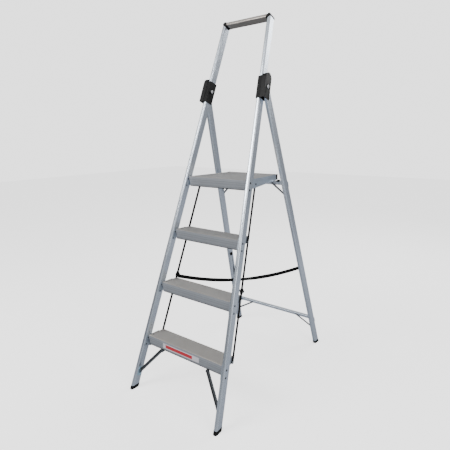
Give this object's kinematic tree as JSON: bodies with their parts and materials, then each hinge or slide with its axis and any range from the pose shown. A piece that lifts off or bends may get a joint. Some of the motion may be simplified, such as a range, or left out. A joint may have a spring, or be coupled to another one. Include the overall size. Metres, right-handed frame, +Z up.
{
  "type": "platform step ladder",
  "caption": "Folding aluminium step ladder with flat treads, a deep standing platform, a handrail above it and rear legs held by webbing straps.",
  "frame": {"origin": "on the floor at the middle of the footprint", "axes": "+X to the right as seen by a person facing the treads, +Y to the rear, +Z up"},
  "size_m": [0.6508, 1.1076, 1.9768],
  "materials": {
    "anodised_aluminium": "satin anodised, drawn along its length",
    "tread_aluminium": "mill finish, ribbed",
    "bracket_aluminium": "pressed, satin",
    "steel_zinc": "zinc plated",
    "dark_steel": "dark coated",
    "black_paint": "black powder coat",
    "black_plastic": "moulded, matt",
    "black_rubber": "moulded rubber",
    "handrail": "brown grey anodised, grooved",
    "webbing": "woven polyester webbing",
    "label": "printed film with a plain red band"
  },
  "bodies": {
    "front_frame": {"left_stile": "anodised_aluminium", "right_stile": "anodised_aluminium", "left_front_foot": "black_rubber", "right_front_foot": "black_rubber", "handrail_bar": "handrail", "left_corner_elbow": "black_plastic", "right_corner_elbow": "black_plastic", "left_hinge_bracket": "black_plastic", "right_hinge_bracket": "black_plastic", "hinge_pins": "steel_zinc", "left_tread_brackets": "bracket_aluminium", "right_tread_brackets": "bracket_aluminium", "stile_rivets": "dark_steel", "brace_cross_rod": "dark_steel", "left_front_brace": "dark_steel", "right_front_brace": "dark_steel", "front_brace_plates": "bracket_aluminium"},
    "rear_frame": {"left_rear_leg": "anodised_aluminium", "right_rear_leg": "anodised_aluminium", "left_rear_foot": "black_rubber", "right_rear_foot": "black_rubber", "upper_crossbar": "anodised_aluminium", "lower_crossbar": "anodised_aluminium", "crossbar_gussets": "bracket_aluminium", "platform_rests": "black_plastic", "left_upper_brace": "dark_steel", "right_upper_brace": "dark_steel", "left_lower_brace": "dark_steel", "right_lower_brace": "dark_steel", "rear_rivets": "steel_zinc", "strap_anchors": "black_plastic", "falling_strap": "webbing", "rising_strap": "webbing"},
    "platform": {"platform_deck": "tread_aluminium", "left_platform_flange": "anodised_aluminium", "right_platform_flange": "anodised_aluminium", "platform_rear_edge": "black_plastic", "platform_pins": "dark_steel", "platform_screws": "dark_steel"},
    "lower_step": {"lower_tread": "tread_aluminium", "lower_tread_left_end": "bracket_aluminium", "lower_tread_right_end": "bracket_aluminium", "lower_tread_pins": "steel_zinc", "lower_tread_screws": "dark_steel", "lower_tread_label": "label"},
    "middle_step": {"middle_tread": "tread_aluminium", "middle_tread_left_end": "bracket_aluminium", "middle_tread_right_end": "bracket_aluminium", "middle_tread_pins": "steel_zinc", "middle_tread_screws": "dark_steel"},
    "upper_step": {"upper_tread": "tread_aluminium", "upper_tread_left_end": "bracket_aluminium", "upper_tread_right_end": "bracket_aluminium", "upper_tread_pins": "steel_zinc", "upper_tread_screws": "dark_steel"},
    "tie_links": {"left_tie_link": "black_paint", "right_tie_link": "black_paint", "left_strap_loop": "webbing", "right_strap_loop": "webbing"}
  },
  "joints": [
    {"name": "rear_frame_fold", "type": "hinge", "parent": "front_frame", "child": "rear_frame", "pos_m": [0, 0.0315, 1.6], "axis": [-1, 0, 0], "range_deg": [0, 35.6], "deforming": ["falling_strap", "rising_strap"]},
    {"name": "platform_fold", "type": "hinge", "parent": "front_frame", "child": "platform", "pos_m": [0, -0.12727, 1.1255], "axis": [1, 0, 0], "range_deg": [0, 68.91]},
    {"name": "lower_step_fold", "type": "hinge", "parent": "front_frame", "child": "lower_step", "pos_m": [0, -0.42652, 0.2705], "axis": [1, 0, 0], "range_deg": [0, 68.91]},
    {"name": "middle_step_fold", "type": "hinge", "parent": "front_frame", "child": "middle_step", "pos_m": [0, -0.32677, 0.5555], "axis": [1, 0, 0], "range_deg": [0, 68.91]},
    {"name": "upper_step_fold", "type": "hinge", "parent": "front_frame", "child": "upper_step", "pos_m": [0, -0.22702, 0.8405], "axis": [1, 0, 0], "range_deg": [0, 68.91]},
    {"name": "tie_link_swing", "type": "hinge", "parent": "platform", "child": "tie_links", "pos_m": [0, -0.04437, 1.1135], "axis": [-1, 0, 0], "range_deg": [0, 68.91]}
  ],
  "couplings": [
    {"joint": "platform_fold", "follows": "rear_frame_fold", "ratio": 1.9357},
    {"joint": "lower_step_fold", "follows": "rear_frame_fold", "ratio": 1.9357},
    {"joint": "middle_step_fold", "follows": "rear_frame_fold", "ratio": 1.9357},
    {"joint": "upper_step_fold", "follows": "rear_frame_fold", "ratio": 1.9357},
    {"joint": "tie_link_swing", "follows": "rear_frame_fold", "ratio": 1.9357}
  ]
}
